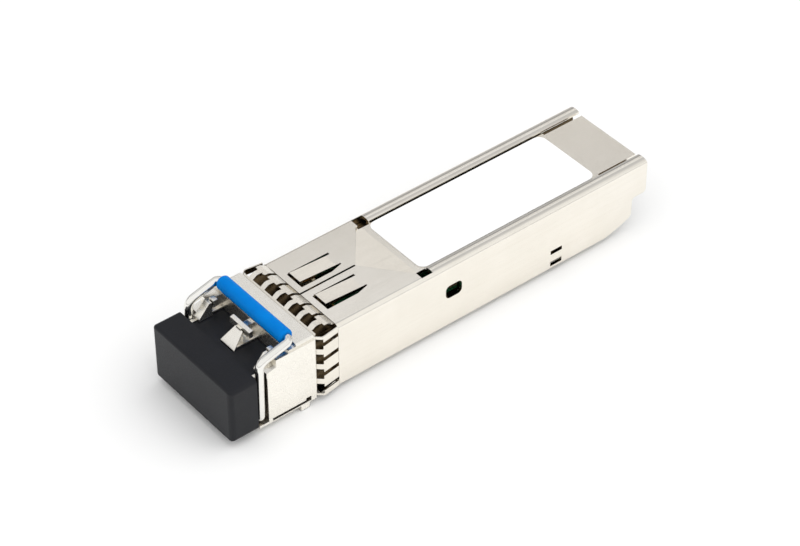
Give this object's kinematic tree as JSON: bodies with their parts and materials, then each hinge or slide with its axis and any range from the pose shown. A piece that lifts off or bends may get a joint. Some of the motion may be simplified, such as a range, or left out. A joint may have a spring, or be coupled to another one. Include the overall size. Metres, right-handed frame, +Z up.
{
  "type": "optical transceiver module",
  "caption": "Pluggable duplex fibre-optic transceiver with sheet-metal shell, spring-finger collar, wire bail latch and soft dust plug.",
  "frame": {"origin": "under the middle of the whole object, at the level of the lowest spring finger", "axes": "+Z up from the latch side to the label side, +Y towards the edge connector, +X to the right seen from the ports"},
  "size_m": [0.0142, 0.0598, 0.0114],
  "materials": {
    "nickel_casting": "nickel-plated zinc casting, satin bright",
    "nickel_sheet": "bright nickel-plated steel sheet",
    "spring_sheet": "nickel-plated spring strip",
    "bail_steel": "nickel-plated spring wire",
    "blue_sleeve": "moulded blue plastic",
    "black_plug": "soft moulded elastomer, matt",
    "white_label": "blank white label",
    "latch_steel": "stainless steel",
    "board_green": "solder-masked glass-epoxy laminate",
    "gold": "hard gold plating",
    "ceramic_white": "ground zirconia",
    "can_metal": "gold-flashed kovar and stainless steel",
    "flex_amber": "polyimide flexible print",
    "chip_black": "moulded epoxy package",
    "capacitor_tan": "multilayer ceramic",
    "resistor_black": "thick film on alumina",
    "bead_grey": "ferrite",
    "pad_grey": "soft thermal gap filler"
  },
  "bodies": {
    "housing": {"nose_housing": "nickel_casting", "emi_collar": "spring_sheet", "top_cover": "nickel_sheet", "base_tray": "nickel_casting", "label": "white_label", "latch_pin": "latch_steel", "latch_spring": "latch_steel", "optics_clamp": "latch_steel", "circuit_board": "board_green", "edge_contacts_top": "gold", "edge_contacts_bottom": "gold", "driver_chip": "chip_black", "amplifier_chip": "chip_black", "microcontroller": "chip_black", "memory_chip": "chip_black", "capacitors": "capacitor_tan", "resistors": "resistor_black", "ferrite_beads": "bead_grey", "thermal_pad": "pad_grey", "transmitter_barrel": "can_metal", "transmitter_ferrule": "ceramic_white", "transmitter_can": "can_metal", "transmitter_flex": "flex_amber", "receiver_barrel": "can_metal", "receiver_ferrule": "ceramic_white", "receiver_can": "can_metal", "receiver_flex": "flex_amber"},
    "bail": {"bail_wire": "bail_steel", "bail_sleeve": "blue_sleeve"},
    "latch": {"latch_lever": "latch_steel"},
    "plug": {"dust_plug": "black_plug"}
  },
  "joints": [
    {"name": "bail_swing", "type": "hinge", "parent": "housing", "child": "bail", "pos_m": [0, -0.02555, 0.00165], "axis": [1, 0, 0], "range_deg": [0, 90]},
    {"name": "latch_tilt", "type": "hinge", "parent": "housing", "child": "latch", "pos_m": [0, -0.01915, 0.00155], "axis": [1, 0, 0], "range_deg": [0, 7], "deforming": ["latch_spring"]},
    {"name": "plug_pull", "type": "slide", "parent": "housing", "child": "plug", "axis": [0, -1, 0], "range_m": [0, 0.02]}
  ],
  "couplings": [
    {"joint": "bail_swing", "follows": "plug_pull", "rad_per_m": 78.53},
    {"joint": "latch_tilt", "follows": "plug_pull", "rad_per_m": 6.1}
  ]
}
